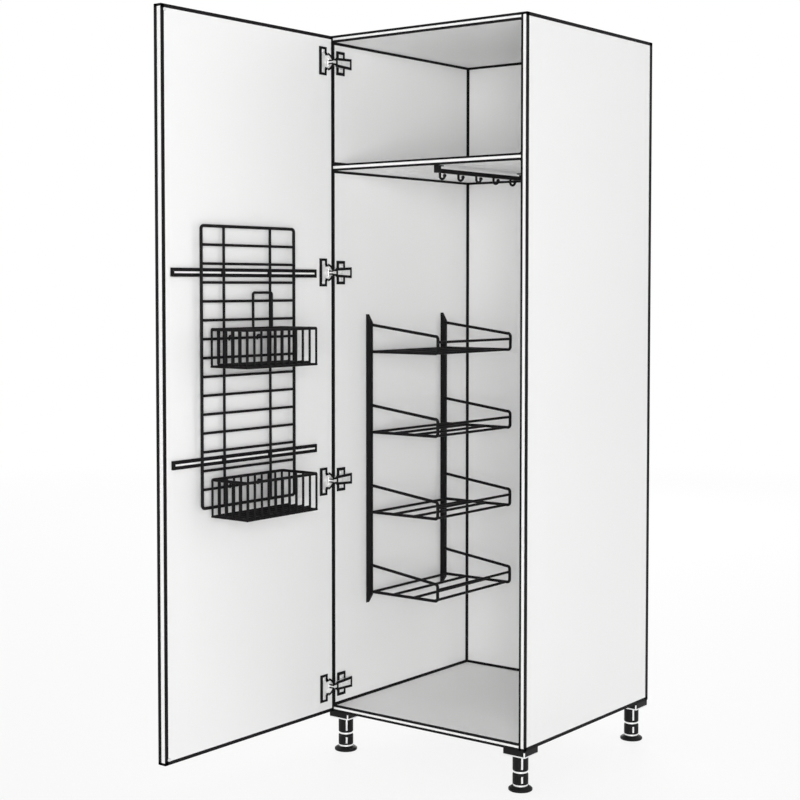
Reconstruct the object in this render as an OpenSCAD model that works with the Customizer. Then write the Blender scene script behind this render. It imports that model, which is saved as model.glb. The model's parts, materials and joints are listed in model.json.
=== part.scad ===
// Tall broom cabinet with one full-height door, wire fittings and adjustable legs.
// Origin: on the floor, midway across, in the plane of the carcass's front edges.
// X runs right, Y runs into the cabinet, Z runs up. The door stands open at a right angle.

/* [Carcass] */
// Width of the carcass
cab_w = 600; // [500:10:700]
// Depth of the carcass
cab_d = 600; // [560:10:680]
// Height of the carcass without its legs
cab_h = 1730; // [1700:10:2000]
// Thickness of the side, top, bottom and shelf boards
board_t = 16; // [15:0.5:19]
// Thickness of the back panel
back_t = 3; // [2.5:0.5:8]
// Width of the rebate in each side that holds the back panel
rebate_w = 8; // [6:0.5:10]
// Thickness of the edge banding on boards and door
edge_t = 1; // [0.5:0.1:2]
// Height of the shelf's underside above the carcass bottom
shelf_h = 1390; // [1340:5:1500]

/* [Panel joints] */
// Diameter of the wooden dowels
dowel_d = 8; // [6:1:8]
// Length of the wooden dowels
dowel_len = 30; // [25:1:35]
// Diameter of the cam housings
cam_d = 15; // [12:1:18]
// Depth of the cam housings in the board
cam_deep = 12.5; // [11:0.5:13]
// Distance from a board's end to its cam's centre
cam_inset = 34; // [24:1:40]
// Diameter of the cam bolts
cam_bolt_d = 6; // [4:0.5:7]
// Length of the nails that hold the back panel
nail_len = 18; // [12:1:25]

/* [Door] */
// Thickness of the door
door_t = 22; // [19:1:24]
// Margin that the closed door leaves at each edge of the carcass
reveal = 1.5; // [1:0.5:2]
// Gap between the closed door and the carcass
front_gap = 3.6; // [3.6:0.1:4.5]

/* [Hinges] */
// Distance of the first and last hinge from the carcass's ends
hinge_end = 67; // [60:1:120]
// Number of hinges
hinge_count = 4; // [3:1:5]
// Distance of the hinge axis from the door's edge
pin_u = 7.5; // [7.2:0.1:7.6]
// Depth of the hinge axis in the door
pin_w = 7; // [6.8:0.1:7.4]
// Diameter of the hinge pin
pin_d = 3; // [2:0.1:3.2]
// Diameter of the hinge cup
cup_d = 35; // [35:0.5:38]
// Distance of the cup's centre from the door's edge
cup_u = 20.5; // [20:0.1:21.5]
// Depth of the hinge cup
cup_deep = 11.5; // [11:0.5:14]
// Height of the cup's flange
flange_h = 64.5; // [60:0.5:70]
// Height of the mounting plate's wings
plate_h = 54; // [50:1:60]
// Length of the hinge arm behind the carcass's front
arm_len = 60; // [56:1:70]

/* [Legs] */
// Height of the legs from the floor to the carcass
leg_h = 104; // [103:1:130]
// Edge length of the corner sockets
socket_size = 62; // [58:1:70]
// Thickness of the corner sockets
socket_t = 14; // [12:1:15]
// Thickness of the steel plate under each socket
seat_t = 3; // [2:0.5:3.5]
// Diameter of the leg tube and of the adjuster ring
tube_d = 38; // [34:1:42]
// Height of the adjuster ring
ring_h = 28; // [24:1:29]
// Diameter of the foot disc
foot_d = 58; // [50:1:60]
// Height of the foot disc
foot_h = 11; // [10:0.5:12]
// Diameter of the threaded stem
stem_d = 19; // [16:1:20]
// Length of the stem inside the tube
stem_len = 38; // [30:1:38]

/* [Door grid and bars] */
// Distance from the door's hinge edge to the grid's first wire
grid_u = 166; // [120:1:180]
// Width of the grid between its outer wires
grid_w = 322; // [300:1:330]
// Spacing of the grid's two inner wires
grid_inner = 161; // [140:1:180]
// Height of the grid's bottom wire above the carcass bottom
grid_low = 581; // [500:1:650]
// Spacing of the grid's rungs
rung_pitch = 43.65; // [42:0.05:45]
// Number of rungs with the frame's top and bottom
rung_count = 16; // [16:1:18]
// Diameter of the grid's frame wire
grid_wire = 7.5; // [5:0.5:7.5]
// Diameter of the rungs and the inner wires
rung_wire = 6.5; // [4:0.5:6.5]
// Length of the flat bars
bar_len = 504; // [460:1:510]
// Height of the flat bars
bar_h = 20; // [12:1:20]
// Thickness of the flat bars
bar_t = 5; // [4.5:0.5:6]
// Distance from the door's hinge edge to the bars
bar_u = 68; // [60:1:80]
// Height of each bar's middle above the carcass bottom, counted in rungs from the grid's bottom
bar_steps = [2.45, 12.53];

/* [Baskets] */
// Distance from the door's hinge edge to the baskets
basket_u = 218; // [200:1:230]
// Width of the baskets
basket_w = 246; // [220:1:250]
// Depth of the baskets
basket_d = 111; // [90:1:111]
// Height of the baskets
basket_h = 86; // [70:1:100]
// Number of wires along the front
basket_front_wires = 11; // [8:1:12]
// Number of wires along each end, with the corners
basket_end_wires = 6; // [4:1:8]
// Diameter of the basket's rim
rim_wire = 7; // [5:0.5:7]
// Diameter of the basket's other wires
mesh_wire = 5.5; // [3.5:0.5:5.5]
// Rungs that carry the two baskets, counted from the grid's bottom
basket_rungs = [1, 9];
// Height of the rim above the rung that carries it
rim_rise = 22; // [18:1:24]
// Distance from the upper basket's end to its lifting hoop
hoop_u = 37; // [35:1:40]
// Width of the lifting hoop
hoop_w = 66; // [60:1:70]
// Height of the lifting hoop above the rim
hoop_h = 85; // [60:1:100]

/* [Side rack] */
// Distance from the carcass's front to the front upright's middle
rack_y = 140; // [140:1:170]
// Distance between the two uprights
rack_len = 333; // [300:1:360]
// Distance from the side panel to the trays' outer wire
rack_reach = 229; // [180:1:230]
// Height of the uprights' lower end above the carcass bottom
upright_low = 261; // [220:1:270]
// Length of the uprights
upright_len = 762; // [758:1:820]
// Depth of the uprights, square to the side panel
upright_x = 14; // [10:1:16]
// Width of the uprights
upright_y = 12; // [12:1:16]
// Height of the lowest tray above the carcass bottom
tray_low = 291; // [285:1:295]
// Spacing of the trays
tray_pitch = 211.3; // [200:0.1:212]
// Number of trays
tray_count = 4; // [4:1:4]
// Height of a tray's frame at the upright
tray_back_h = 70.5; // [60:0.5:72]
// Height of a tray's frame at its outer corner
tray_front_h = 44; // [41:0.5:48]
// Height of a tray's guard wire
guard_h = 29; // [22:0.5:29]
// Diameter of a tray's frame wire
frame_wire = 8; // [6:0.5:8]
// Diameter of a tray's floor and guard wires
floor_wire = 7; // [5:0.5:7]
// Number of floor wires of a tray
floor_wires = 4; // [4:1:8]

/* [Hook rail] */
// Distance of the rail from the cabinet's middle
rail_x = 35; // [0:1:120]
// Distance from the carcass's front to the rail's end
rail_y = 7; // [6:1:20]
// Length of the rail
rail_len = 390; // [380:1:480]
// Height of the rail's section
rail_h = 10; // [9:0.5:11]
// Width of the rail's section
rail_w = 9; // [8:0.5:9]
// Drop from the shelf to the rail's underside
rail_drop = 18.5; // [16:0.5:24]
// Number of hooks
hook_count = 5; // [3:1:5]
// Spacing of the hooks
hook_pitch = 77.5; // [50:0.5:80]
// Diameter of the hook wire
hook_wire = 6; // [4.5:0.5:6]
// Drop from the rail to the bottom of a hook
hook_drop = 15; // [14:1:30]

/* [Hidden] */
$fn = 40;

// Clearances
fit = 0.1;          // radial clearance of a piece seated in its hole
seat_gap = 0.3;     // gap between pieces that move on each other
pin_fit = 0.05;     // radial clearance of the hinge pin
weld = 0.6;         // depth to which crossing wires are welded into each other

// Carcass places
inner_x = cab_w / 2 - board_t;
deck_z = [leg_h, leg_h + shelf_h, leg_h + cab_h - board_t];
cam_from_top = [false, true, true];
dowel_side = board_t - 5;
joint_inset = 90;
cam_step = 50;
cam_slot_w = 1.5;
cam_slot_deep = 1.5;
dowel_spots = [joint_inset, cab_d - joint_inset];
cam_spots = [joint_inset + cam_step, cab_d - joint_inset - cam_step];
bolt_side = board_t - 6;
nail_d = 1.6;
nail_head_d = 4;
nail_head_t = 0.8;
nail_end = 60;
side_nails = 8;
deck_nail_pitch = cab_w / 4;

// Door places. The door swings about the pin axis, which lies just inside its edge.
pin_x = -cab_w / 2 + reveal + pin_u;
pin_y = -(front_gap + pin_w);
door_x = pin_x + pin_w;
door_y = pin_y + pin_u;
door_w = cab_w - 2 * reveal;
door_h = cab_h - 2 * reveal;
door_z = leg_h + reveal;
bumper_d = 9;
bumper_inset = 12;

// Hinge sizes
hinge_pitch = (cab_h - 2 * hinge_end) / (hinge_count - 1);
hinge_z = [for (i = [0:hinge_count - 1]) leg_h + hinge_end + i * hinge_pitch];
cup_wall = 0.8;
flange_t = 1.5;
flange_rim = 1.3;
strip_u = [27, 46.5];
strip_taper = 9;
cup_screw_z = flange_h / 2 - 8.25;
pin_half = sqrt(pow(cup_d / 2, 2) - pow(cup_u - pin_u + pin_d / 2, 2));
eye_d = 5.2;
neck_h = 10;
neck_t = 2.6;
plate_t = 2.5;
plate_y = [16, 41.5];
plate_screw_z = 16;
block_y = [8, arm_len - 4];
block_h = 13;
arm_rise = 3;
arm_under = 9.5;
arm_t = 1.5;
arm_front_h = 19.5;
arm_back_h = 24.7;
arm_screw_y = [22, 44];

// Screws: head diameter, head height, shank diameter, length
plate_screw = [7.2, 2, 4, 13];
arm_screw = [7, 1.6, 3.6, 7];
cup_screw = [7, 1.8, 3.8, 12.5];
leg_screw = [8, 2.4, 3.8, 17];
rack_screw = [7.2, 2.2, 4, 24];
rail_screw = [7, 2, 3.8, 13];
bar_screw = [7.6, 2.2, 3.8, 16];

// Leg places, from the floor up
leg_inset = socket_size / 2;
socket_corner = 3;
plug_d = 28;
plug_h = 11;
collar_t = 4;
stop_t = 4;
pivot_d = 10;
pivot_deep = 5;
ring_z = foot_h + seat_gap + collar_t;
tube_z = ring_z + ring_h + stop_t + seat_gap;
socket_screw = socket_size / 2 - 8;
flute_count = 12;
flute_d = 3;

// Grid, bar and basket places, out from the door's inner face
clip_base = 0.6;
inner_b = bar_t + clip_base + fit + rung_wire / 2;
grid_b = inner_b + rung_wire - weld;
grid_bend = 8;
grid_z = leg_h + grid_low;
grid_top = grid_z + (rung_count - 1) * rung_pitch;
inner_u = [for (s = [-1, 1]) grid_u + grid_w / 2 + s * grid_inner / 2];
clip_w = 9.5;
clip_h = 12;
clip_b = inner_b + rung_wire * 0.2;
bar_screw_inset = 12;
mesh_b = grid_b + rung_wire / 2 + seat_gap + rim_wire / 2;
mesh_bend = 5;
hoop_wire = rim_wire - 0.5;
rim_bend = 6;
corner_in = 2;
rest_wire = 4.5;
rest_over = rung_wire / 2 + seat_gap + rest_wire / 2;
rest_tail = 5.5;
rest_bend = 3;
rest_at = [3, 7];

// Rack places
wall_x = -inner_x;
upright_tip = 1;
upright_chamfer = 22;
upright_z = leg_h + upright_low;
upright_ys = [rack_y, rack_y + rack_len];
plug_in = 5;
frame_bend = 8;
frame_stub = 2;
floor_inset = 4;
rack_screw_steps = [0.55, 1.65, 2.65];

// Hook rail places
rail_z = deck_z[1] - rail_drop;
bracket_w = 12.5;
bracket_foot = 24;
bracket_foot_t = 2.5;
hook_first = 16.5;
hook_bend = 7;
hook_tip = 1;
hook_ball_d = 9;
hook_in = 5;

// A round rod from point a to point b
module rod(a, b, d) {
    run = b - a;
    translate(a) rotate([0, acos(run.z / norm(run)), atan2(run.y, run.x)])
        cylinder(d = d, h = norm(run));
}

function unit(v) = v / norm(v);
function turn(a, b, c) = acos(unit(b - a) * unit(c - b));

// The round bend of a wire that comes from a, turns at b and goes to c
module elbow(a, b, c, d, bend) {
    u = unit(b - a);
    v = unit(c - b);
    side = unit(v - u * (u * v));
    angle = turn(a, b, c);
    centre = b - u * bend * tan(angle / 2) + side * bend;
    n = cross(-side, u);
    multmatrix([[-side.x, u.x, n.x, centre.x],
                [-side.y, u.y, n.y, centre.y],
                [-side.z, u.z, n.z, centre.z],
                [0, 0, 0, 1]])
        rotate_extrude(angle = angle) translate([bend, 0]) circle(d = d);
}

// A bent wire through the given points, with round bends at its corners
module bent_wire(pts, d, bend, closed = false) {
    n = len(pts);
    first = closed ? 0 : 1;
    cuts = [for (i = [0:n - 1])
        closed || (i > 0 && i < n - 1)
            ? bend * tan(turn(pts[(i + n - 1) % n], pts[i], pts[(i + 1) % n]) / 2) : 0];
    for (i = [0:n - 1 - first]) {
        a = pts[i];
        b = pts[(i + 1) % n];
        rod(a + unit(b - a) * cuts[i], b - unit(b - a) * cuts[(i + 1) % n], d);
    }
    for (i = [first:n - 1 - first])
        elbow(pts[(i + n - 1) % n], pts[i], pts[(i + 1) % n], d, bend);
}

// A pan-head screw, its head above the origin and its shank below
module screw(s) {
    difference() {
        rotate_extrude() polygon([
            [0, -s[3]], [s[2] / 2, -s[3]], [s[2] / 2, 0], [s[0] / 2, 0],
            [s[0] / 2, s[1] * 0.5], [s[0] * 0.3, s[1]], [0, s[1]]]);
        cross_recess(s[0] * 0.5, s[1]);
    }
}

// A countersunk screw, its head flush with the origin
module flush_screw(s) {
    difference() {
        rotate_extrude() polygon([
            [0, -s[3]], [s[2] / 2, -s[3]], [s[2] / 2, -s[1]], [s[0] / 2, 0], [0, 0]]);
        cross_recess(s[0] * 0.5, 0);
    }
}

// The countersunk hole of a flush screw
module countersink(s) {
    pilot(s, 0);
    translate([0, 0, -s[1]]) cylinder(d1 = s[2] + 2 * fit, d2 = s[0] + 2 * fit, h = s[1] + 0.01);
}

module cross_recess(size, top) {
    for (a = [0, 90]) rotate(a) translate([0, 0, top])
        cube([size, size * 0.25, 1.6], center = true);
}

// The pilot hole of a screw, from its head's underside down
module pilot(s, above = 1) {
    translate([0, 0, -s[3] - fit]) cylinder(d = s[2] + 2 * fit, h = s[3] + fit + above);
}

// Places on both ends of the given decks, with +Z out into the side panel
module at_joints(spots, decks = [0, 1, 2]) {
    for (i = decks, s = [-1, 1], y = spots)
        translate([s * inner_x, y, deck_z[i] + board_t / 2]) rotate([0, 90 * s, 0]) children();
}

module dowel(extra = 0) {
    translate([0, 0, dowel_side - dowel_len - 3 * extra])
        cylinder(d = dowel_d + 2 * extra, h = dowel_len + 6 * extra);
}

module cam_bolt(extra = 0) {
    reach = cam_inset - cam_d / 2 + 4;
    translate([0, 0, -reach - extra])
        cylinder(d = cam_bolt_d + 2 * extra, h = reach + bolt_side + 2 * extra);
}

// Cam positions of one deck, each at the face that its housing is let into
module at_cams(i) {
    for (s = [-1, 1], y = cam_spots)
        translate([s * (inner_x - cam_inset), y, deck_z[i] + (cam_from_top[i] ? board_t : 0)])
            mirror([0, 0, cam_from_top[i] ? 1 : 0]) children();
}

// Places of the nails in the back panel's rear face, with +Z into the cabinet
module at_nails() {
    for (s = [-1, 1], k = [0:side_nails - 1])
        translate([s * (inner_x + rebate_w / 2), cab_d,
                   leg_h + nail_end + k * (cab_h - 2 * nail_end) / (side_nails - 1)])
            rotate([90, 0, 0]) children();
    for (z = deck_z, k = [-1:1])
        translate([k * deck_nail_pitch, cab_d, z + board_t / 2]) rotate([90, 0, 0]) children();
}

module nail(extra = 0) {
    translate([0, 0, -extra]) cylinder(d = nail_head_d + 2 * extra, h = nail_head_t + 2 * extra);
    cylinder(d = nail_d + extra, h = nail_len + extra);
}

// One side board, drawn on the right
module side_board() {
    difference() {
        translate([inner_x, edge_t, leg_h]) cube([board_t, cab_d - edge_t, cab_h]);
        translate([inner_x - 1, cab_d - back_t, leg_h - 1])
            cube([rebate_w + 1, back_t + 1, cab_h + 2]);
        at_joints(dowel_spots) dowel(fit);
        at_joints(cam_spots) cam_bolt(fit);
        at_leg_screws() pilot(leg_screw);
        at_nails() nail(fit);
    }
}

module side_panel_right() color("white") side_board();

module side_panel_left() color("white") difference() {
    mirror([1, 0, 0]) side_board();
    at_plate_screws() pilot(plate_screw, plate_t + 1);
    at_rack_screws() pilot(rack_screw);
}

// A deck board between the sides, with its joint bores
module deck(i) {
    difference() {
        translate([-inner_x, edge_t, deck_z[i]])
            cube([2 * inner_x, cab_d - back_t - edge_t, board_t]);
        at_joints(dowel_spots, [i]) dowel(fit);
        at_joints(cam_spots, [i]) cam_bolt(fit);
        at_cams(i) translate([0, 0, -1]) cylinder(d = cam_d + 2 * fit, h = cam_deep + fit + 1);
        at_nails() nail(fit);
    }
}

module bottom_panel() color("white") difference() {
    deck(0);
    at_leg_screws() pilot(leg_screw);
}

module fixed_shelf() color("white") difference() {
    deck(1);
    at_rail_screws() pilot(rail_screw);
}

module top_panel() color("white") deck(2);

module back_panel() color("white") difference() {
    translate([-inner_x - rebate_w, cab_d - back_t, leg_h])
        cube([2 * (inner_x + rebate_w), back_t, cab_h]);
    at_nails() nail(fit);
}

module edge_banding() color("white") {
    for (x = [-cab_w / 2, inner_x]) translate([x, 0, leg_h]) cube([board_t, edge_t, cab_h]);
    for (z = deck_z) translate([-inner_x, 0, z]) cube([2 * inner_x, edge_t, board_t]);
}

module dowels() color("burlywood") at_joints(dowel_spots) dowel();

module cam_bolts() color("silver") at_joints(cam_spots) cam_bolt();

module cam_housings() color("silver") difference() {
    for (i = [0:2]) at_cams(i) cylinder(d = cam_d, h = cam_deep);
    at_joints(cam_spots) cam_bolt(fit);
    for (i = [0:2]) at_cams(i) cube([cam_d * 0.5, cam_slot_w, 2 * cam_slot_deep], center = true);
}

module back_nails() color("silver") at_nails() nail();

// Leg positions at floor level: side of the cabinet and distance from its front
leg_at = [for (y = [leg_inset, cab_d - leg_inset], s = [-1, 1])
    [s * (cab_w / 2 - leg_inset), y, 0]];

// Screw places under the sockets, with the heads pointing down
module at_leg_screws() {
    for (p = leg_at, sx = [-1, 1], sy = [-1, 1])
        translate(p + [sx * socket_screw, sy * socket_screw, leg_h - socket_t / 2])
            rotate([180, 0, 0]) children();
}

// Outline of a socket, a square with small chamfers
module socket_outline() {
    h = socket_size / 2;
    c = h - socket_corner;
    polygon([[-c, -h], [c, -h], [h, -c], [h, c], [c, h], [-c, h], [-h, c], [-h, -c]]);
}

module leg_sockets() color("black") difference() {
    for (p = leg_at) translate(p + [0, 0, leg_h - socket_t]) linear_extrude(socket_t)
        socket_outline();
    for (p = leg_at) translate(p + [0, 0, leg_h - socket_t - 1])
        cylinder(d = plug_d + 2 * fit, h = plug_h - seat_t + fit + 1);
    at_leg_screws() {
        pilot(leg_screw);
        cylinder(d = leg_screw[0] + 4 * fit, h = socket_t);
    }
}

// Steel plates between the sockets and the tubes
module leg_plates() color("silver") difference() {
    for (p = leg_at) translate(p + [0, 0, leg_h - socket_t - seat_t]) linear_extrude(seat_t)
        difference() {
            socket_outline();
            circle(d = plug_d + 2 * fit);
        }
    at_leg_screws() cylinder(d = leg_screw[0] + 4 * fit, h = socket_t + seat_t);
}

module leg_screws() color("silver") at_leg_screws() screw(leg_screw);

module leg_tubes() color("black") for (p = leg_at) translate(p) {
    r = tube_d / 2;
    top = leg_h - socket_t - seat_t;
    bore = stem_d / 2 + fit;
    rotate_extrude() polygon([
        [bore, tube_z], [r - 2, tube_z], [r - 0.6, tube_z + 0.8], [r, tube_z + 2.4], [r, top],
        [plug_d / 2, top], [plug_d / 2, top + plug_h], [0, top + plug_h],
        [0, tube_z + stem_len + 4], [bore, tube_z + stem_len + 4]]);
}

module foot(i) color("black") translate(leg_at[i]) {
    r = foot_d / 2;
    hole = pivot_d / 2 + fit;
    rotate_extrude() polygon([
        [0, 0], [r - 1.5, 0], [r, 1.5], [r, foot_h * 0.45], [r - 2, foot_h * 0.62],
        [r - 8.5, foot_h], [hole, foot_h], [hole, foot_h - pivot_deep - fit],
        [0, foot_h - pivot_deep - fit]]);
}

module stem(i) color("silver") translate(leg_at[i]) {
    core = stem_d / 2;
    collar = tube_d / 2 - 1;
    stop = tube_d / 2 - 2;
    pivot = pivot_d / 2;
    top = ring_z + ring_h;
    rotate_extrude() polygon([
        [0, foot_h - pivot_deep], [pivot, foot_h - pivot_deep], [pivot, foot_h + seat_gap],
        [collar, foot_h + seat_gap], [collar, ring_z], [core, ring_z], [core, top],
        [stop, top], [stop, top + stop_t], [core, top + stop_t],
        [core, tube_z + stem_len - 1.5], [core - 1.5, tube_z + stem_len],
        [0, tube_z + stem_len]]);
}

module ring(i) color("black") translate(leg_at[i]) difference() {
    r = tube_d / 2;
    top = ring_z + ring_h;
    rotate_extrude() polygon([
        [stem_d / 2 + fit, ring_z], [r - 1, ring_z], [r, ring_z + 1], [r, top - 4.5],
        [r - 1.2, top - 1.8], [r - 3.5, top], [stem_d / 2 + fit, top]]);
    for (k = [0:flute_count - 1]) rotate(k * 360 / flute_count)
        translate([r + flute_d * 0.25, 0, ring_z + ring_h * 0.2])
            cylinder(d = flute_d, h = ring_h * 0.5);
}

module foot_front_left() foot(0);
module foot_front_right() foot(1);
module foot_back_left() foot(2);
module foot_back_right() foot(3);
module stem_front_left() stem(0);
module stem_front_right() stem(1);
module stem_back_left() stem(2);
module stem_back_right() stem(3);
module ring_front_left() ring(0);
module ring_front_right() ring(1);
module ring_back_left() ring(2);
module ring_back_right() ring(3);

// Door frame: X runs from the hinge edge along the door, Y stands out of its inner face
module on_door() translate([door_x, door_y, 0]) rotate(-90) children();

// A place on the door's inner face, with +Z into the door
module into_door(u, z, out = 0) translate([u, out, z]) rotate([90, 0, 0]) children();

// A place on the left side panel's inner face, with +Z out into the cabinet
module on_wall(y, z, out = 0) translate([wall_x + out, y, z]) rotate([90, 0, 90]) children();

module at_cup_screws() {
    for (z = hinge_z, s = [-1, 1])
        into_door((strip_u[0] + strip_u[1]) / 2, z + s * cup_screw_z, flange_t)
            rotate([180, 0, 0]) children();
}

module at_plate_screws() {
    for (z = hinge_z, s = [-1, 1])
        on_wall((plate_y[0] + plate_y[1]) / 2, z + s * plate_screw_z, plate_t) children();
}

module at_arm_screws() {
    for (z = hinge_z, y = arm_screw_y) on_wall(y, z, arm_under + arm_t) children();
}

// Outline of a hinge arm seen from the front, narrowed by a margin
module arm_outline(margin = 0) {
    f = arm_front_h / 2 - margin;
    b = arm_back_h / 2 - margin;
    polygon([[1 + margin, -f], [arm_len - margin, -b], [arm_len - margin, b], [1 + margin, f]]);
}

module hinge_arms() color("gainsboro") difference() {
    for (z = hinge_z) {
        difference() {
            on_wall(0, z, arm_rise) linear_extrude(arm_under + arm_t - arm_rise) arm_outline();
            on_wall(0, z, arm_rise - 1) linear_extrude(arm_under - arm_rise + 1)
                arm_outline(arm_t);
        }
        outer_x = wall_x + arm_under + arm_t;
        translate([outer_x - neck_t, pin_y - neck_t / 2, z - neck_h / 2])
            cube([neck_t, 2 + neck_t / 2 - pin_y, neck_h]);
        difference() {
            union() {
                translate([pin_x, pin_y - neck_t / 2, z - neck_h / 2])
                    cube([outer_x - pin_x, neck_t, neck_h]);
                translate([pin_x, pin_y, z - neck_h / 2]) cylinder(d = eye_d, h = neck_h);
            }
            translate([pin_x, pin_y, z - neck_h]) cylinder(d = pin_d + 2 * pin_fit, h = 2 * neck_h);
        }
    }
    at_arm_screws() pilot(arm_screw);
}

module hinge_plates() color("gainsboro") difference() {
    for (z = hinge_z) {
        on_wall(block_y[0], z - block_h / 2)
            cube([block_y[1] - block_y[0], block_h, arm_under]);
        on_wall(plate_y[0], z - plate_h / 2) cube([plate_y[1] - plate_y[0], plate_h, plate_t]);
    }
    at_arm_screws() pilot(arm_screw);
    at_plate_screws() pilot(plate_screw);
}

module hinge_screws() color("silver") {
    at_plate_screws() screw(plate_screw);
    at_arm_screws() screw(arm_screw);
}

module hinge_pins() color("silver") on_door() for (z = hinge_z)
    translate([pin_u, -pin_w, z - pin_half]) cylinder(d = pin_d, h = 2 * pin_half);

// Outline of a hinge cup's flange about the cup's centre
module flange_outline() {
    near = strip_u[0] - cup_u;
    far = strip_u[1] - cup_u;
    circle(d = cup_d + 2 * flange_rim);
    translate([near, -flange_h / 2]) square([far - near, flange_h]);
    polygon([[near - strip_taper, -cup_d * 0.4], [near, -cup_d * 0.68],
             [near, cup_d * 0.68], [near - strip_taper, cup_d * 0.4]]);
}

module hinge_cups() color("gainsboro") on_door() difference() {
    for (z = hinge_z) difference() {
        union() {
            into_door(cup_u, z) cylinder(d = cup_d, h = cup_deep);
            into_door(cup_u, z, flange_t) linear_extrude(flange_t) flange_outline();
        }
        into_door(cup_u, z, flange_t + 1)
            cylinder(d = cup_d - 2 * cup_wall, h = cup_deep + flange_t + 1 - cup_wall);
        translate([pin_u, -pin_w, z - cup_d / 2]) cylinder(d = pin_d + pin_fit, h = cup_d);
    }
    at_cup_screws() pilot(cup_screw);
}

module cup_screws() color("silver") on_door() at_cup_screws() screw(cup_screw);

bar_z = [for (k = bar_steps) grid_z + k * rung_pitch];

module at_bar_screws(which = [0, 1]) {
    for (i = which, u = [bar_u + bar_screw_inset, bar_u + bar_len - bar_screw_inset])
        into_door(u, bar_z[i], bar_t) rotate([180, 0, 0]) children();
}

module door_panel() color("white") on_door() difference() {
    translate([edge_t, -door_t, door_z + edge_t])
        cube([door_w - 2 * edge_t, door_t, door_h - 2 * edge_t]);
    for (z = hinge_z) into_door(cup_u, z, 1) cylinder(d = cup_d + 2 * fit, h = cup_deep + fit + 1);
    at_cup_screws() pilot(cup_screw);
    at_bar_screws() pilot(bar_screw);
}

module door_edging() color("white") on_door() {
    for (u = [0, door_w - edge_t]) translate([u, -door_t, door_z])
        cube([edge_t, door_t, door_h]);
    for (z = [door_z, door_z + door_h - edge_t]) translate([edge_t, -door_t, z])
        cube([door_w - 2 * edge_t, door_t, edge_t]);
}

module door_bumpers() color("white") on_door()
    for (z = [door_z + bumper_inset, door_z + door_h - bumper_inset])
        translate([door_w - bumper_inset, 0, z]) rotate([-90, 0, 0])
            cylinder(d1 = bumper_d, d2 = bumper_d - 2.5, h = front_gap - 2 * seat_gap);

module flat_bar(i) color("white") on_door() difference() {
    translate([bar_u, 0, bar_z[i] - bar_h / 2]) cube([bar_len, bar_t, bar_h]);
    at_bar_screws([i]) countersink(bar_screw);
}

module bar_lower() flat_bar(0);
module bar_upper() flat_bar(1);
module bar_screws() color("white") on_door() at_bar_screws() flush_screw(bar_screw);

module door_grid() color("black") on_door() {
    u1 = grid_u + grid_w;
    bent_wire([[grid_u, grid_b, grid_z], [u1, grid_b, grid_z],
               [u1, grid_b, grid_top], [grid_u, grid_b, grid_top]], grid_wire, grid_bend, true);
    for (u = inner_u) rod([u, inner_b, grid_z], [u, inner_b, grid_top], rung_wire);
    for (i = [1:rung_count - 2]) {
        z = grid_z + i * rung_pitch;
        rod([grid_u, grid_b, z], [u1, grid_b, z], rung_wire);
    }
}

// Snap clips on the bars, which hold the rear half of the grid's inner wires
module grid_clips() color("black") on_door() difference() {
    for (u = inner_u, z = bar_z) translate([u - clip_w / 2, bar_t, z - clip_h / 2])
        cube([clip_w, clip_b - bar_t, clip_h]);
    for (u = inner_u) translate([u, inner_b, grid_z])
        cylinder(d = rung_wire + 2 * fit, h = grid_top - grid_z);
}

// A hook from a basket's rear wire over the rung at height z
module rung_hook(u, z) {
    behind = grid_b - rest_over;
    bent_wire([[u, mesh_b, z + rest_over], [u, behind, z + rest_over],
               [u, behind, z - rest_tail]], rest_wire, rest_bend);
}

// The place of each wire along the basket's front
function basket_wire_u(i) = basket_u + corner_in
    + i * (basket_w - 2 * corner_in) / (basket_front_wires - 1);

// One wire basket with its hooks, carried by the rung at height z
module basket(z) {
    rim_z = z + rim_rise;
    floor_z = rim_z - basket_h;
    rise = mesh_wire - weld;
    u1 = basket_u + basket_w;
    b1 = mesh_b + basket_d;
    bent_wire([[basket_u, mesh_b, rim_z], [u1, mesh_b, rim_z], [u1, b1, rim_z],
               [basket_u, b1, rim_z]], rim_wire, rim_bend, true);
    for (i = [0:basket_front_wires - 1]) {
        u = basket_wire_u(i);
        bent_wire([[u, mesh_b, rim_z], [u, mesh_b, floor_z], [u, b1, floor_z], [u, b1, rim_z]],
                  mesh_wire, mesh_bend);
    }
    for (j = [1:basket_end_wires - 2]) {
        b = mesh_b + j * basket_d / (basket_end_wires - 1);
        bent_wire([[basket_u, b, rim_z], [basket_u, b, floor_z + rise],
                   [u1, b, floor_z + rise], [u1, b, rim_z]], mesh_wire, mesh_bend);
    }
    for (b = [mesh_b, b1]) rod([basket_u, b, floor_z], [u1, b, floor_z], mesh_wire);
    for (i = rest_at) rung_hook(basket_wire_u(i), z);
}

module basket_lower() color("black") on_door() basket(grid_z + basket_rungs[0] * rung_pitch);

module basket_upper() color("black") on_door() {
    z = grid_z + basket_rungs[1] * rung_pitch;
    rim_z = z + rim_rise;
    u0 = basket_u + hoop_u;
    u1 = u0 + hoop_w;
    basket(z);
    bent_wire([[u0, mesh_b, rim_z], [u0, mesh_b, rim_z + hoop_h],
               [u1, mesh_b, rim_z + hoop_h], [u1, mesh_b, rim_z]], hoop_wire, mesh_bend);
}

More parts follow.
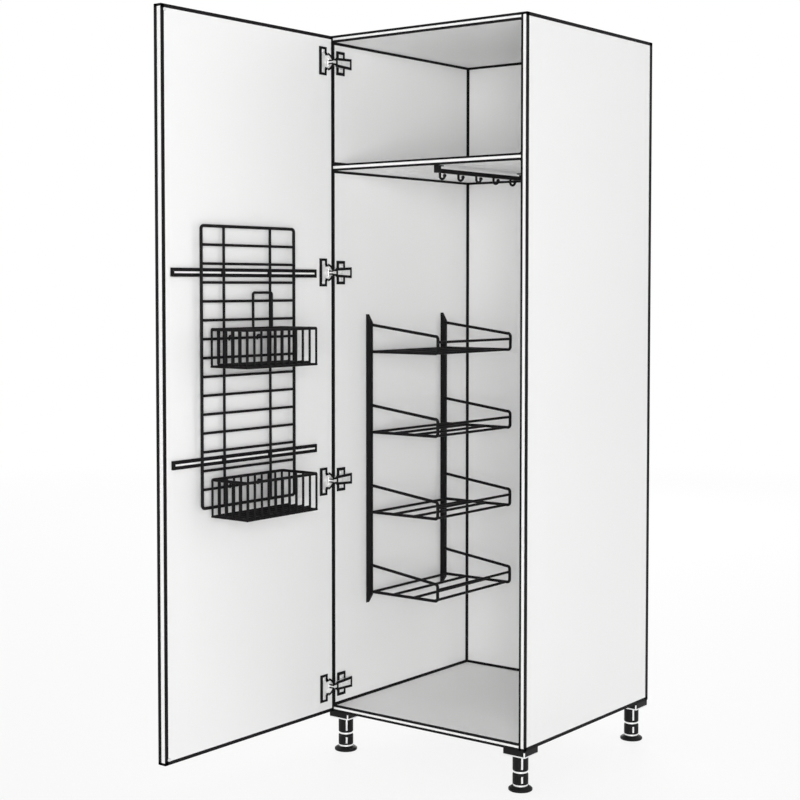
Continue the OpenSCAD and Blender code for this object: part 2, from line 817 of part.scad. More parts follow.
module upright(y) difference() {
    z1 = upright_z + upright_len;
    translate([0, y + upright_y / 2, 0]) rotate([90, 0, 0]) linear_extrude(upright_y) polygon([
        [wall_x, upright_z], [wall_x + upright_tip, upright_z],
        [wall_x + upright_x, upright_z + upright_chamfer],
        [wall_x + upright_x, z1 - upright_chamfer], [wall_x + upright_tip, z1], [wall_x, z1]]);
    for (i = [0:tray_count - 1]) {
        on_wall(y, tray_z(i), upright_x - plug_in - fit)
            cylinder(d = frame_wire + 2 * fit, h = plug_in + 1);
        top = frame_start(y, tray_z(i));
        slope = unit(frame_end(y, tray_z(i)) - top);
        rod(top - slope * (plug_in + fit), top + slope, frame_wire + 2 * fit);
    }
    at_rack_screws() pilot(rack_screw);
}

function tray_z(i) = leg_h + tray_low + i * tray_pitch;

// Both ends of the sloping wire over a tray's end, for the tray at height z
function frame_start(y, z) = [wall_x + upright_x, y, z + tray_back_h];
function frame_end(y, z) = [wall_x + rack_reach - frame_bend - frame_stub, y, z + tray_front_h];

module at_rack_screws() {
    for (y = upright_ys, k = rack_screw_steps)
        on_wall(y, leg_h + tray_low + k * tray_pitch, upright_x) children();
}

module rack_upright_front() color("black") upright(upright_ys[0]);
module rack_upright_back() color("black") upright(upright_ys[1]);
module rack_screws() color("dimgray") at_rack_screws() screw(rack_screw);

// One wire tray: two end frames plugged into the uprights, floor wires and a guard wire.
// The sloping wire ends inside the bent one, so it is a little thinner.
module tray(i) color("black") {
    z = tray_z(i);
    x0 = wall_x + upright_x;
    x1 = wall_x + rack_reach;
    for (y = upright_ys) {
        start = frame_start(y, z);
        end = frame_end(y, z);
        bent_wire([end, [x1, y, end.z], [x1, y, z], [x0 - plug_in, y, z]],
                  frame_wire, frame_bend);
        slope = unit(end - start);
        rod(start - slope * plug_in, end + slope * seat_gap, frame_wire - 2 * fit);
    }
    rod([x1, upright_ys[0], z + guard_h], [x1, upright_ys[1], z + guard_h], floor_wire);
    for (k = [0:floor_wires - 1]) {
        x = x0 + floor_inset + k * (x1 - frame_bend - x0 - 2 * floor_inset) / (floor_wires - 1);
        rod([x, upright_ys[0], z], [x, upright_ys[1], z], floor_wire);
    }
}

module tray_1() tray(0);
module tray_2() tray(1);
module tray_3() tray(2);
module tray_4() tray(3);

module hook_rail() color("black") difference() {
    translate([rail_x - rail_w / 2, rail_y + 3, rail_z]) cube([rail_w, rail_len - 6, rail_h]);
    at_hooks() translate([0, 0, -1]) cylinder(d = hook_wire + 2 * fit, h = hook_in + fit + 1);
}

// Hook places under the rail
module at_hooks() {
    for (k = [0:hook_count - 1])
        translate([rail_x, rail_y + hook_first + k * hook_pitch, rail_z]) children();
}

// A bracket at each end of the rail: a block around the rail's end and a foot under the shelf
module rail_brackets() color("black") difference() {
    for (end = [0, 1]) translate([rail_x, rail_y + end * rail_len, rail_z]) mirror([0, end, 0]) {
        translate([-bracket_w / 2, 0, 0]) cube([bracket_w, bracket_w, rail_drop]);
        translate([-bracket_w / 2, 0, rail_drop - bracket_foot_t])
            cube([bracket_w, bracket_foot, bracket_foot_t]);
    }
    translate([rail_x - rail_w / 2 - fit, rail_y + 3 - fit, rail_z - 1])
        cube([rail_w + 2 * fit, rail_len - 6 + 2 * fit, rail_h + 1 + fit]);
    at_rail_screws() pilot(rail_screw);
}

// Screw places in the bracket feet, with the heads pointing down
module at_rail_screws() {
    for (y = [rail_y + bracket_foot - 7, rail_y + rail_len - bracket_foot + 7])
        translate([rail_x, y, deck_z[1] - bracket_foot_t]) rotate([180, 0, 0]) children();
}

module rail_screws() color("silver") at_rail_screws() screw(rail_screw);

module rail_hooks() color("black") at_hooks() {
    bent_wire([[0, 0, hook_in], [0, 0, -hook_drop], [2 * hook_bend, 0, -hook_drop],
               [2 * hook_bend, 0, -hook_drop + hook_bend + hook_tip]],
              hook_wire, hook_bend - 0.01);
    translate([2 * hook_bend, 0, -hook_drop + hook_bend + hook_tip]) sphere(d = hook_ball_d);
}

side_panel_left();
side_panel_right();
top_panel();
bottom_panel();
fixed_shelf();
back_panel();
edge_banding();
dowels();
cam_housings();
cam_bolts();
back_nails();
leg_sockets();
leg_plates();
leg_tubes();
leg_screws();
foot_front_left();
foot_front_right();
foot_back_left();
foot_back_right();
stem_front_left();
stem_front_right();
stem_back_left();
stem_back_right();
ring_front_left();
ring_front_right();
ring_back_left();
ring_back_right();
hinge_plates();
hinge_arms();
hinge_screws();
hinge_pins();
hinge_cups();
cup_screws();
door_panel();
door_edging();
door_bumpers();
bar_lower();
bar_upper();
bar_screws();
door_grid();
grid_clips();
basket_lower();
basket_upper();
rack_upright_front();
rack_upright_back();
rack_screws();
tray_1();
tray_2();
tray_3();
tray_4();
hook_rail();
rail_brackets();
rail_hooks();
rail_screws();
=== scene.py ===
"""Tall broom cabinet: materials, drawn edges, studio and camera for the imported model."""
import json
import math

import bmesh
import bpy
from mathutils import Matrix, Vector


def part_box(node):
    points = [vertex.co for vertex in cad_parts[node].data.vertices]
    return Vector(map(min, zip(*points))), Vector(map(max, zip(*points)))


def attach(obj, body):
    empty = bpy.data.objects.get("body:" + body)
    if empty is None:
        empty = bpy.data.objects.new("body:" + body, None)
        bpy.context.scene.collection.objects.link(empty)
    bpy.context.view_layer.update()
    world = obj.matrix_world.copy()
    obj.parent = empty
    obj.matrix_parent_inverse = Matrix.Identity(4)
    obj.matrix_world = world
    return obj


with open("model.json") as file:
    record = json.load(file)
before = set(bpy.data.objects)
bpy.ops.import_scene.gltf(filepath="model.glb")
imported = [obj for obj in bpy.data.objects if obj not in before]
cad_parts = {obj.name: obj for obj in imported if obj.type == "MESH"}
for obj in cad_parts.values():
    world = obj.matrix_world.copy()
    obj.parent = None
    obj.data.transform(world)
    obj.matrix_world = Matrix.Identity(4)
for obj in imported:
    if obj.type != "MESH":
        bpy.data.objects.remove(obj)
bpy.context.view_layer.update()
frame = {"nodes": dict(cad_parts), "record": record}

MM = 0.001
NODES = frame["nodes"]

# Main places, read from the solids
OUTER_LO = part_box("side_panel_left")[0]
OUTER_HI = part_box("side_panel_right")[1]
BACK_LO, BACK_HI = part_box("back_panel")
SHELF_LO, SHELF_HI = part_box("fixed_shelf")
TOP_LO, TOP_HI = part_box("top_panel")
BOTTOM_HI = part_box("bottom_panel")[1]
DOOR_LO, DOOR_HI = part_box("door_edging")
CUPS_LO, CUPS_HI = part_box("hinge_cups")
INNER_X = TOP_HI.x

# How far the dark lines stand proud of a face and reach into it
PROUD = 0.25 * MM
SUNK = 0.05 * MM

# Widths of the lines: on faces that look along X, Y and Z, on the inner front edges of panels
# and boards, in the inside corners (a dark line on the joint that is mostly painted shade), and
# along the thin joints between panels
WIDE = (8.2 * MM, 5.8 * MM, 5.5 * MM)
PANEL_LINE = 5.4 * MM
BOARD_LINE = 4.8 * MM
CORNER_SHADE = 6 * MM
JOINT_LINE = 1.6 * MM

# The way to the front, and upright edges of a box as box_lines names them
FRONT = (0, -1, 0)
FRONT_LEFT, FRONT_RIGHT, BACK_RIGHT = (2, 0, 0), (2, 1, 0), (2, 1, 1)


# Materials

def principled(name, color, rough, metallic=0.0, specular=0.5):
    mat = bpy.data.materials.new(name)
    mat.use_nodes = True
    bsdf = mat.node_tree.nodes["Principled BSDF"]
    bsdf.inputs["Base Color"].default_value = (*color, 1)
    bsdf.inputs["Roughness"].default_value = rough
    bsdf.inputs["Metallic"].default_value = metallic
    bsdf.inputs["Specular IOR Level"].default_value = specular
    mat.diffuse_color = (*color, 1)
    return mat, mat.node_tree, bsdf


def add(tree, kind, **values):
    node = tree.nodes.new(kind)
    for key, value in values.items():
        setattr(node, key, value)
    return node


def noise(tree, scale, detail=3.0, stretch=(1, 1, 1)):
    """Noise in metres of the object's own space."""
    coord = add(tree, "ShaderNodeTexCoord")
    mapping = add(tree, "ShaderNodeMapping")
    mapping.inputs["Scale"].default_value = stretch
    tex = add(tree, "ShaderNodeTexNoise")
    tex.inputs["Scale"].default_value = scale
    tex.inputs["Detail"].default_value = detail
    tree.links.new(coord.outputs["Object"], mapping.inputs["Vector"])
    tree.links.new(mapping.outputs["Vector"], tex.inputs["Vector"])
    return tex.outputs["Fac"]


def bump(tree, bsdf, height, strength, distance):
    node = add(tree, "ShaderNodeBump")
    node.inputs["Strength"].default_value = strength
    node.inputs["Distance"].default_value = distance
    tree.links.new(height, node.inputs["Height"])
    tree.links.new(node.outputs["Normal"], bsdf.inputs["Normal"])


def vary(tree, target, factor, low, high):
    """A colour or a value that runs from low to high with the factor."""
    if isinstance(low, tuple):
        node = add(tree, "ShaderNodeMix", data_type="RGBA")
        node.inputs["A"].default_value = (*low, 1)
        node.inputs["B"].default_value = (*high, 1)
        tree.links.new(factor, node.inputs["Factor"])
        tree.links.new(node.outputs["Result"], target)
    else:
        node = add(tree, "ShaderNodeMapRange")
        node.inputs["To Min"].default_value = low
        node.inputs["To Max"].default_value = high
        tree.links.new(factor, node.inputs["Value"])
        tree.links.new(node.outputs["Result"], target)


def melamine(name, color, rough):
    """A smooth pale board with a faint pearl texture and a slow drift of tone."""
    mat, tree, bsdf = principled(name, color, rough)
    tone = noise(tree, 2.5, 2)
    low = tuple(c * 0.985 for c in color)
    vary(tree, bsdf.inputs["Base Color"], tone, low, color)
    vary(tree, bsdf.inputs["Roughness"], noise(tree, 40, 4), rough - 0.05, rough + 0.07)
    bump(tree, bsdf, noise(tree, 900, 2), 0.12, 0.0002)
    return mat


def coated(name, color, rough, grain=1400, specular=0.5):
    """A moulded or coated surface with a fine orange-peel grain."""
    mat, tree, bsdf = principled(name, color, rough, specular=specular)
    dark = max(color) < 0.5
    high = tuple(c * 1.35 + 0.003 for c in color) if dark else color
    low = color if dark else tuple(c * 0.98 for c in color)
    vary(tree, bsdf.inputs["Base Color"], noise(tree, 60, 3), low, high)
    vary(tree, bsdf.inputs["Roughness"], noise(tree, 150, 3), rough - 0.05, rough + 0.08)
    bump(tree, bsdf, noise(tree, grain, 2), 0.15, 0.0002)
    return mat


def metal(name, color, rough, stretch=(1, 1, 1), metallic=1.0):
    """A plated or turned metal with fine marks along one direction."""
    mat, tree, bsdf = principled(name, color, rough, metallic=metallic)
    tone = noise(tree, 90, 3)
    vary(tree, bsdf.inputs["Base Color"], tone, tuple(c * 0.95 for c in color), color)
    brushed = noise(tree, 500, 3, stretch)
    vary(tree, bsdf.inputs["Roughness"], brushed, rough - 0.06, rough + 0.08)
    bump(tree, bsdf, brushed, 0.08, 0.0001)
    return mat


def beech(name):
    mat, tree, bsdf = principled(name, (0.62, 0.42, 0.23), 0.6)
    grain = noise(tree, 120, 4, (1, 6, 6))
    vary(tree, bsdf.inputs["Base Color"], grain, (0.5, 0.32, 0.17), (0.68, 0.49, 0.29))
    bump(tree, bsdf, grain, 0.2, 0.0003)
    return mat


WHITE = (0.97, 0.97, 0.967)
BACK_WHITE = (0.975, 0.975, 0.972)
BLACK = (0.008, 0.0075, 0.008)
MATS = {
    "white_board": melamine("melamine_board", WHITE, 0.42),
    "white_back": melamine("lacquered_back", BACK_WHITE, 0.5),
    "white_edging": melamine("edging", WHITE, 0.38),
    "dowel_wood": beech("beech"),
    "zinc": metal("zinc_plating", (0.86, 0.86, 0.87), 0.28),
    "black_zinc": metal("black_zinc", (0.03, 0.03, 0.032), 0.35),
    "leg_steel": metal("turned_steel", (0.94, 0.94, 0.94), 0.3, (1, 1, 8)),
    "nickel": metal("satin_nickel", (0.95, 0.95, 0.945), 0.4, metallic=0.5),
    "black_plastic": coated("moulded_plastic", BLACK, 0.4, grain=700, specular=0.1),
    "black_wire": coated("coated_wire", BLACK, 0.45, specular=0.06),
    "white_metal": coated("powder_coat", WHITE, 0.42),
    "clear_rubber": coated("clear_bumper", (0.82, 0.82, 0.82), 0.3),
}
LINE_MAT = coated("dark_edge_line", BLACK, 0.5, specular=0.05)
# Pale material for the painted highlights on the legs
PAINTED_HIGHLIGHT_MAT = coated("painted_leg_highlight", (0.9, 0.9, 0.9), 0.4)

slots = {s["node"]: s["material_slot"] for s in frame["record"]["subparts"]}
for name, obj in NODES.items():
    for entry in obj.material_slots:
        entry.material = MATS[slots[name]]
    if not obj.material_slots:
        obj.data.materials.append(MATS[slots[name]])


# Lines along edges, in corners and around flat shapes

def prism(bm, start, end, u, v, profile):
    """A bar with the given profile in the plane of u and v, run from start to end."""
    rings = [[bm.verts.new(Vector(at) + u * a + v * b) for a, b in profile]
             for at in (start, end)]
    for i in range(len(profile)):
        j = (i + 1) % len(profile)
        bm.faces.new((rings[0][i], rings[0][j], rings[1][j], rings[1][i]))
    bm.faces.new(rings[0][::-1])
    bm.faces.new(rings[1])


def edge_line(bm, start, end, na, nb, wa, wb):
    """A dark arris on a convex edge, wa wide on the face along na, wb on the one along nb."""
    profile = [(PROUD, PROUD), (PROUD, -wa), (-SUNK, -wa), (-SUNK, -SUNK), (-wb, -SUNK),
               (-wb, PROUD)]
    prism(bm, start, end, Vector(na), Vector(nb), profile)


def corner_shade_line(bm, start, end, na, nb):
    """A dark hollow bead in a corner whose walls look along na and nb: it marks the joint and
    paints the shade that falls in the corner.
    """
    steps = 5
    arc = []
    for i in range(steps + 1):
        a = math.pi / 2 * i / steps
        arc.append((CORNER_SHADE * (1 - math.sin(a)), CORNER_SHADE * (1 - math.cos(a))))
    profile = [(-SUNK, -SUNK), (CORNER_SHADE, -SUNK)] + arc + [(-SUNK, CORNER_SHADE)]
    prism(bm, start, end, Vector(na), Vector(nb), profile)


def flat_line(bm, start, end, n, side, width):
    """A dark line on a face that looks along n, centred on the segment."""
    half = width / 2
    profile = [(PROUD, -half), (PROUD, half), (-SUNK, half), (-SUNK, -half)]
    prism(bm, start, end, Vector(n), Vector(side), profile)


def box_lines(bm, lo, hi, given):
    """Lines along the twelve edges of a box, with the widths of WIDE.

    Given holds other widths for single edges: (axis, side, side) to (width, width).
    """
    for axis in range(3):
        j, k = [i for i in range(3) if i != axis]
        for sj in (0, 1):
            for sk in (0, 1):
                start, end = Vector(lo), Vector(lo)
                start[j] = end[j] = (lo, hi)[sj][j]
                start[k] = end[k] = (lo, hi)[sk][k]
                end[axis] = hi[axis]
                na, nb = Vector(), Vector()
                na[j], nb[k] = 2 * sj - 1, 2 * sk - 1
                wa, wb = given.get((axis, sj, sk), (WIDE[j], WIDE[k]))
                edge_line(bm, start, end, na, nb, wa, wb)


def offset_loop(loop, d):
    """A flat loop that runs anticlockwise, moved outwards by d with mitred corners."""
    out = []
    for i, p in enumerate(loop):
        a = (p - loop[i - 1]).normalized()
        b = (loop[(i + 1) % len(loop)] - p).normalized()
        na, nb = Vector((a.y, -a.x)), Vector((b.y, -b.x))
        mid = (na + nb).normalized()
        out.append(p + mid * (d / mid.dot(na)))
    return out


def band(bm, place, points, low, high, inward, outward):
    """A raised band along a flat loop. Place turns (a, b, height) into a point of the scene."""
    loop = [Vector(p) for p in points]
    outer, inner = offset_loop(loop, outward), offset_loop(loop, -inward)
    rings = [[bm.verts.new(place(p.x, p.y, h)) for p in ring]
             for ring, h in ((outer, low), (outer, high), (inner, high), (inner, low))]
    for r in range(4):
        a, b = rings[r], rings[(r + 1) % 4]
        for i in range(len(loop)):
            j = (i + 1) % len(loop)
            bm.faces.new((a[i], a[j], b[j], b[i]))


def slab(bm, place, lo, hi, low, high):
    """A flat bar over the rectangle from lo to hi, between two heights above its face."""
    corners = [(lo[0], lo[1]), (hi[0], lo[1]), (hi[0], hi[1]), (lo[0], hi[1])]
    rings = [[bm.verts.new(place(a, b, h)) for a, b in corners] for h in (low, high)]
    for i in range(4):
        j = (i + 1) % 4
        bm.faces.new((rings[0][i], rings[0][j], rings[1][j], rings[1][i]))
    bm.faces.new(rings[0][::-1])
    bm.faces.new(rings[1])


def finish_mesh(name, bm, mat, body):
    bmesh.ops.recalc_face_normals(bm, faces=bm.faces)
    mesh = bpy.data.meshes.new(name)
    bm.to_mesh(mesh)
    bm.free()
    mesh.materials.append(mat)
    obj = bpy.data.objects.new(name, mesh)
    bpy.context.scene.collection.objects.link(obj)
    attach(obj, body)


# Outer edges of the carcass and inner front edges of its panels and boards. For each board
# edge: its height, the way its flat face looks, and how far the line runs in on that face.
PANEL_DEEP = 6.3 * MM
board_edges = (
    (TOP_LO.z, -1, 8 * MM),
    (SHELF_HI.z, 1, 3 * MM),
    (SHELF_LO.z, -1, 8 * MM),
    (BOTTOM_HI.z, 1, 5 * MM),
)
bm = bmesh.new()
outer_lo = Vector((OUTER_LO.x, 0.0, OUTER_LO.z))
outer_hi = Vector(OUTER_HI)
box_lines(bm, outer_lo, outer_hi, {
    FRONT_RIGHT: (9 * MM, 2.6 * MM),
    BACK_RIGHT: (13 * MM, 6 * MM),
    FRONT_LEFT: (6.5 * MM, 4 * MM),
})
for s in (-1, 1):
    x = s * INNER_X
    edge_line(bm, (x, 0, outer_lo.z), (x, 0, outer_hi.z), FRONT, (-s, 0, 0), PANEL_LINE,
              PANEL_DEEP)
    for z, n in ((outer_hi.z, 1), (outer_lo.z, -1)):
        flat_line(bm, (x, 0, z), (x, BACK_LO.y, z), (0, 0, n), (1, 0, 0), JOINT_LINE)
    x = s * BACK_HI.x
    flat_line(bm, (x, outer_hi.y, outer_lo.z), (x, outer_hi.y, outer_hi.z), (0, 1, 0),
              (1, 0, 0), JOINT_LINE)
for z, n, deep in board_edges:
    edge_line(bm, (-INNER_X, 0, z), (INNER_X, 0, z), FRONT, (0, 0, n), BOARD_LINE, deep)
finish_mesh("carcass_edge_lines", bm, LINE_MAT, "cabinet")

# Dark beads in the corners inside the two compartments: they mark the joints and paint the
# shade in those corners
bm = bmesh.new()
for low, high in ((SHELF_HI.z, TOP_LO.z), (BOTTOM_HI.z, SHELF_LO.z)):
    for s in (-1, 1):
        x = s * INNER_X
        corner_shade_line(bm, (x, BACK_LO.y, low), (x, BACK_LO.y, high), (-s, 0, 0), FRONT)
        for z, n in ((low, 1), (high, -1)):
            corner_shade_line(bm, (x, 0, z), (x, BACK_LO.y, z), (-s, 0, 0), (0, 0, n))
    for z, n in ((low, 1), (high, -1)):
        corner_shade_line(bm, (-INNER_X, BACK_LO.y, z), (INNER_X, BACK_LO.y, z), FRONT, (0, 0, n))
finish_mesh("inside_corner_shade_lines", bm, LINE_MAT, "cabinet")

# Door edges. The edge beside the hinges is finer, because a gap runs next to it.
bm = bmesh.new()
box_lines(bm, DOOR_LO, DOOR_HI, {
    FRONT_RIGHT: (9.4 * MM, 1.2 * MM),
    FRONT_LEFT: (6.5 * MM, 9.6 * MM),
    BACK_RIGHT: (4.2 * MM, 3.2 * MM),
})
finish_mesh("door_edge_lines", bm, LINE_MAT, "door")


# Lines around the bars and the hinges

def on_door(u, z, out):
    """A point from its distance to the door's hinge edge, its height and its way outwards."""
    return Vector((DOOR_HI.x + out, DOOR_HI.y - u, z))


def on_wall(y, z, out):
    """A point from its place on the left panel's inner face and its way off that face."""
    return Vector((-INNER_X + out, y, z))


def scaled(points, up=0.0):
    """Flat points given in mm, moved up by a length in metres."""
    return [(a * MM, b * MM + up) for a, b in points]


BAR_LINE = 7.8 * MM
bm = bmesh.new()
for node in ("bar_lower", "bar_upper"):
    lo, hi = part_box(node)
    u0, u1 = DOOR_HI.y - hi.y, DOOR_HI.y - lo.y
    face = hi.x - DOOR_HI.x
    rectangle = [(u0, lo.z), (u1, lo.z), (u1, hi.z), (u0, hi.z)]
    band(bm, on_door, rectangle, 0, face + PROUD, BAR_LINE, PROUD)
finish_mesh("bar_edge_lines", bm, LINE_MAT, "door")

# The hinges, sized as in the solids: half a cup flange's height and its thickness, the
# thickness of a mounting plate, the distance of an arm's outer face from the panel, and the
# neck that reaches from the arm to the pin
HINGES = 4
FLANGE_HALF = 32.25 * MM
FLANGE_OUT = 1.5 * MM
PLATE_OUT = 2.5 * MM
ARM_OUT = 11 * MM
NECK_HALF = 5 * MM
NECK_FRONT, NECK_END = -11.9 * MM, 1 * MM
NECK_LOW = -6 * MM
hinge_first = CUPS_LO.z + FLANGE_HALF
hinge_step = (CUPS_HI.z - CUPS_LO.z - 2 * FLANGE_HALF) / (HINGES - 1)
hinge_z = [hinge_first + i * hinge_step for i in range(HINGES)]

# How far the lines around tapers, plates and arms run inwards and outwards, where those on a
# neck lie beside the hinge's middle, and how far they wrap round it
TAPER_LINE = (1.2 * MM, 2.4 * MM)
PLATE_LINE = (4.4 * MM, 3 * MM)
ARM_LINE = (5 * MM, 1.6 * MM)
ARM_DEEP = 1.6 * MM
NECK_LINE = (3.4 * MM, 8.4 * MM)
NECK_DEEP = 1.4 * MM
NECK_WRAP = (3 * MM, 1.2 * MM)

# Around each cup: bars along its strip, a taper on each side and two arcs of its round rim,
# all as distances in mm from the door's edge and the hinge's height. Towards the edge it stays
# open.
strip_lines = (
    ((41.9, -35.4), (51.1, 35.4)),
    ((22.9, 29.2), (41.9, 35.4)),
    ((22.9, -35.4), (41.9, -29.2)),
    ((22.9, 18), (31.1, 29.2)),
    ((22.9, -29.2), (31.1, -18)),
)
taper = ((21.4, 17.7), (27, 23.8), (27, 17))
CUP_CENTRE = 20.5
CUP_RIM = (22.4, 16.9)
arc = [math.radians(a) for a in range(80, 21, -6)]
line_top = FLANGE_OUT + PROUD
bm = bmesh.new()
for z in hinge_z:
    for corners in strip_lines:
        lo, hi = scaled(corners, z)
        slab(bm, on_door, lo, hi, -SUNK, line_top)
    for s in (-1, 1):
        points = [(u, v * s) for u, v in taper]
        if s > 0:
            points.reverse()
        band(bm, on_door, scaled(points, z), 0, line_top, *TAPER_LINE)
        rim = [(CUP_CENTRE - r * math.cos(a), s * r * math.sin(a))
               for r, turn in zip(CUP_RIM, (arc, arc[::-1])) for a in turn]
        prism(bm, on_door(0, z, -SUNK), on_door(0, z, line_top), Vector((0, -1, 0)),
              Vector((0, 0, 1)), scaled(rim))
finish_mesh("hinge_cup_lines", bm, LINE_MAT, "door")

# Around each mounting plate and arm, as distances in mm from the front edge and the hinge's
# height, and along both sides of each neck
plate = ((16, -27), (41.5, -27), (41.5, 27), (16, 27))
arm = ((1, -9.75), (60, -12.35), (60, 12.35), (1, 9.75))
bm = bmesh.new()
for z in hinge_z:
    band(bm, on_wall, scaled(plate, z), 0, PLATE_OUT + PROUD, *PLATE_LINE)
    band(bm, on_wall, scaled(arm, z), ARM_OUT - ARM_DEEP, ARM_OUT + PROUD, *ARM_LINE)
    for s in (-1, 1):
        low, high = sorted(z + s * beside for beside in NECK_LINE)
        slab(bm, on_wall, (NECK_FRONT, low), (NECK_END, high), ARM_OUT - NECK_DEEP,
             ARM_OUT + PROUD)
        neck = z + s * NECK_HALF
        edge_line(bm, on_wall(NECK_FRONT, neck, NECK_LOW), on_wall(NECK_FRONT, neck, ARM_OUT),
                  FRONT, (0, 0, s), *NECK_WRAP)
finish_mesh("hinge_arm_lines", bm, LINE_MAT, "cabinet")


# Painted highlights on the legs: pale strips, all towards the front right, in place of a glint.
# Upright strips on rings and tubes, and a short one on each socket's corner. The heights are
# above the ring's or tube's foot.

LEGS = ("front_left", "front_right", "back_left", "back_right")
HIGHLIGHT_HALF_ANGLE = 6.5
RING_HIGHLIGHT = (5 * MM, 21 * MM)
TUBE_HIGHLIGHT_START = 6 * MM
SOCKET_HALF = 29.5 * MM
SOCKET_HIGHLIGHT_HEIGHT = 10 * MM
SOCKET_HIGHLIGHT_WIDTH = 3.6 * MM


def highlight_strip(bm, centre, radius, low, high):
    """A thin pale upright strip on a cylinder's surface, 45 degrees to the front right: a
    painted highlight.
    """
    steps = 4
    rings = []
    for r in (radius - 2 * SUNK, radius + PROUD):
        for z in (low, high):
            ring = []
            for i in range(steps + 1):
                a = math.radians(-45 + HIGHLIGHT_HALF_ANGLE * (2 * i / steps - 1))
                ring.append(bm.verts.new(
                    (centre[0] + r * math.cos(a), centre[1] + r * math.sin(a), z)))
            rings.append(ring)
    inner_low, inner_high, outer_low, outer_high = rings
    for a, b in ((outer_low, outer_high), (outer_high, inner_high), (inner_high, inner_low),
                 (inner_low, outer_low)):
        for i in range(steps):
            bm.faces.new((a[i], a[i + 1], b[i + 1], b[i]))
    for i in (0, steps):
        bm.faces.new((inner_low[i], outer_low[i], outer_high[i], inner_high[i]))


sockets_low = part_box("leg_sockets")[0].z
tubes_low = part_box("leg_tubes")[0].z
plates_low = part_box("leg_plates")[0].z
outwards = Vector((1, -1, 0)).normalized()
sideways = Vector((1, 1, 0)).normalized()
fixed = bmesh.new()
for leg in LEGS:
    lo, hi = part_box("ring_" + leg)
    centre = ((lo.x + hi.x) / 2, (lo.y + hi.y) / 2)
    radius = (hi.x - lo.x) / 2
    turning = bmesh.new()
    highlight_strip(turning, centre, radius, lo.z + RING_HIGHLIGHT[0], lo.z + RING_HIGHLIGHT[1])
    finish_mesh("ring_painted_highlight_" + leg, turning, PAINTED_HIGHLIGHT_MAT, "adjuster_" + leg)
    highlight_strip(fixed, centre, radius, tubes_low + TUBE_HIGHLIGHT_START, plates_low)
    corner = Vector((centre[0] + SOCKET_HALF, centre[1] - SOCKET_HALF, sockets_low))
    top = corner + Vector((0, 0, SOCKET_HIGHLIGHT_HEIGHT))
    # A short pale strip on the socket's corner: a painted highlight
    flat_line(fixed, corner, top, outwards, sideways, SOCKET_HIGHLIGHT_WIDTH)
finish_mesh("leg_painted_highlights", fixed, PAINTED_HIGHLIGHT_MAT, "cabinet")


# Floor and light. The world looks white to the camera and in reflections. There the floor
# glows too: by a share close to the object, which keeps its shadow, and fully far from it.

FLOOR_COLOR = (0.86, 0.86, 0.86)
FLOOR_REACH = 30
FADE_START, FADE_END = 1.2, 7.0
NEAR_GLOW = 0.84
SKY = 0.32


def seen_ray(tree):
    """1 where the camera, a reflection or clear material sees the surface, otherwise 0."""
    path = add(tree, "ShaderNodeLightPath")
    value = path.outputs["Is Camera Ray"]
    for other in ("Is Glossy Ray", "Is Transmission Ray"):
        node = add(tree, "ShaderNodeMath", operation="MAXIMUM")
        tree.links.new(value, node.inputs[0])
        tree.links.new(path.outputs[other], node.inputs[1])
        value = node.outputs[0]
    return value


def pale_floor(name, color, rough):
    """A pale floor that fades into the white background away from the object."""
    mat, tree, bsdf = principled(name, color, rough, specular=0.1)
    tone = noise(tree, 3, 3)
    vary(tree, bsdf.inputs["Base Color"], tone, tuple(c * 0.985 for c in color), color)
    glow = add(tree, "ShaderNodeEmission")
    glow.inputs["Color"].default_value = (1, 1, 1, 1)
    glow.inputs["Strength"].default_value = 1.0
    place = add(tree, "ShaderNodeNewGeometry")
    reach = add(tree, "ShaderNodeVectorMath", operation="LENGTH")
    tree.links.new(place.outputs["Position"], reach.inputs[0])
    fade = add(tree, "ShaderNodeMapRange")
    fade.inputs["From Min"].default_value = FADE_START
    fade.inputs["From Max"].default_value = FADE_END
    fade.inputs["To Min"].default_value = NEAR_GLOW
    tree.links.new(reach.outputs["Value"], fade.inputs["Value"])
    share = add(tree, "ShaderNodeMath", operation="MULTIPLY")
    tree.links.new(seen_ray(tree), share.inputs[0])
    tree.links.new(fade.outputs["Result"], share.inputs[1])
    mix = add(tree, "ShaderNodeMixShader")
    tree.links.new(share.outputs[0], mix.inputs["Fac"])
    tree.links.new(bsdf.outputs[0], mix.inputs[1])
    tree.links.new(glow.outputs[0], mix.inputs[2])
    tree.links.new(mix.outputs[0], tree.nodes["Material Output"].inputs["Surface"])
    return mat


floor_mesh = bpy.data.meshes.new("studio_floor")
bm = bmesh.new()
bmesh.ops.create_grid(bm, x_segments=8, y_segments=8, size=FLOOR_REACH)
bm.to_mesh(floor_mesh)
bm.free()
floor = bpy.data.objects.new("studio_floor", floor_mesh)
floor_mesh.materials.append(pale_floor("studio_floor", FLOOR_COLOR, 0.6))
bpy.context.scene.collection.objects.link(floor)

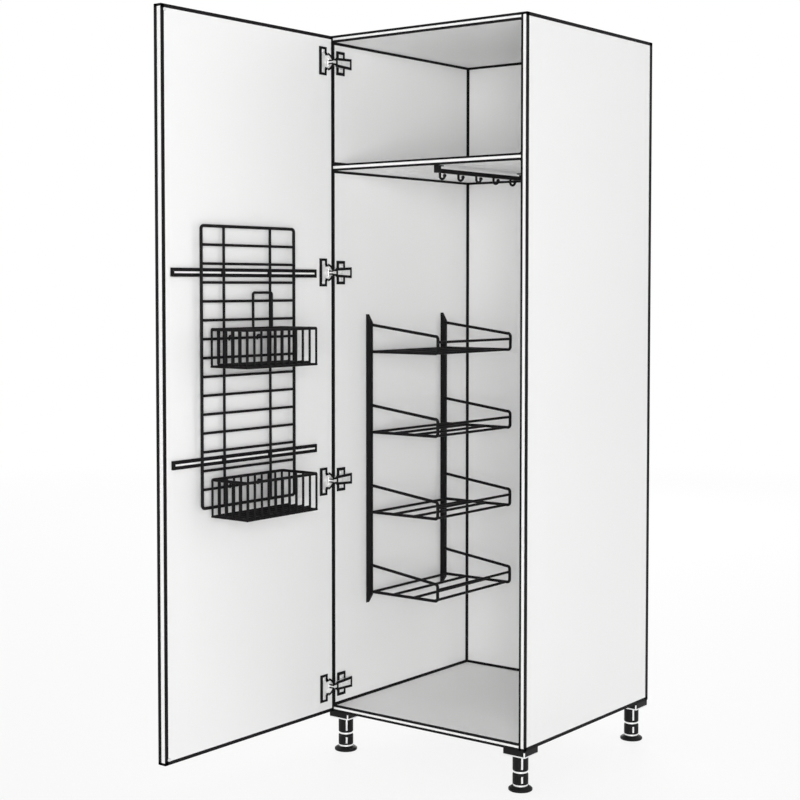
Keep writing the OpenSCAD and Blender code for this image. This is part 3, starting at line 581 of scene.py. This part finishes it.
world = bpy.data.worlds.new("studio")
bpy.context.scene.world = world
world.use_nodes = True
tree = world.node_tree
sky = tree.nodes["Background"]
sky.inputs["Color"].default_value = (1, 1, 1, 1)
sky.inputs["Strength"].default_value = SKY
seen = add(tree, "ShaderNodeBackground")
seen.inputs["Color"].default_value = (1, 1, 1, 1)
seen.inputs["Strength"].default_value = 1.0
mix = add(tree, "ShaderNodeMixShader")
tree.links.new(seen_ray(tree), mix.inputs["Fac"])
tree.links.new(sky.outputs[0], mix.inputs[1])
tree.links.new(seen.outputs[0], mix.inputs[2])
tree.links.new(mix.outputs[0], tree.nodes["World Output"].inputs["Surface"])


def lamp(name, place, target, size, power):
    """A soft rectangular lamp, with its sizes in metres and its power in watts."""
    data = bpy.data.lights.new(name, "AREA")
    data.shape = "RECTANGLE"
    data.size, data.size_y = size
    data.energy = power
    obj = bpy.data.objects.new(name, data)
    obj.location = place
    obj.rotation_euler = (Vector(target) - Vector(place)).to_track_quat("-Z", "Y").to_euler()
    bpy.context.scene.collection.objects.link(obj)


lamp("key", (3.47, -4.14, 1.2), (0, 0, 0.95), (2.6, 2.4), 168)
lamp("left", (-4.6, -2.6, 2.0), (0, 0, 0.9), (2.6, 2.6), 44)
lamp("top", (0.3, 0.5, 4.9), (0, 0.3, 0.9), (3, 3), 42)
lamp("back", (-2.6, 4.6, 2.4), (0, 0.2, 0.9), (2.8, 2.8), 120)
lamp("side", (4.8, 2.4, 2.2), (0, 0.2, 0.9), (2.6, 2.6), 25)

# Camera, as fitted to the photograph: sensor and lens in mm, the frame's shift, the place, and
# the turn down from level and round from the front in degrees
SENSOR = 36
LENS = 70.786
SHIFT = (0.0151, -0.055)
CAMERA_PLACE = (2.2916, -3.0886, 1.1989)
CAMERA_DOWN = 2.5212
CAMERA_ROUND = 37.8337
cam_data = bpy.data.cameras.new("camera")
cam = bpy.data.objects.new("camera", cam_data)
bpy.context.scene.collection.objects.link(cam)
cam_data.sensor_width = SENSOR
cam_data.lens = LENS
cam_data.shift_x, cam_data.shift_y = SHIFT
cam.location = CAMERA_PLACE
cam.rotation_euler = (math.radians(90 - CAMERA_DOWN), 0, math.radians(CAMERA_ROUND))
bpy.context.scene.camera = cam
bpy.context.scene.view_settings.view_transform = "Standard"
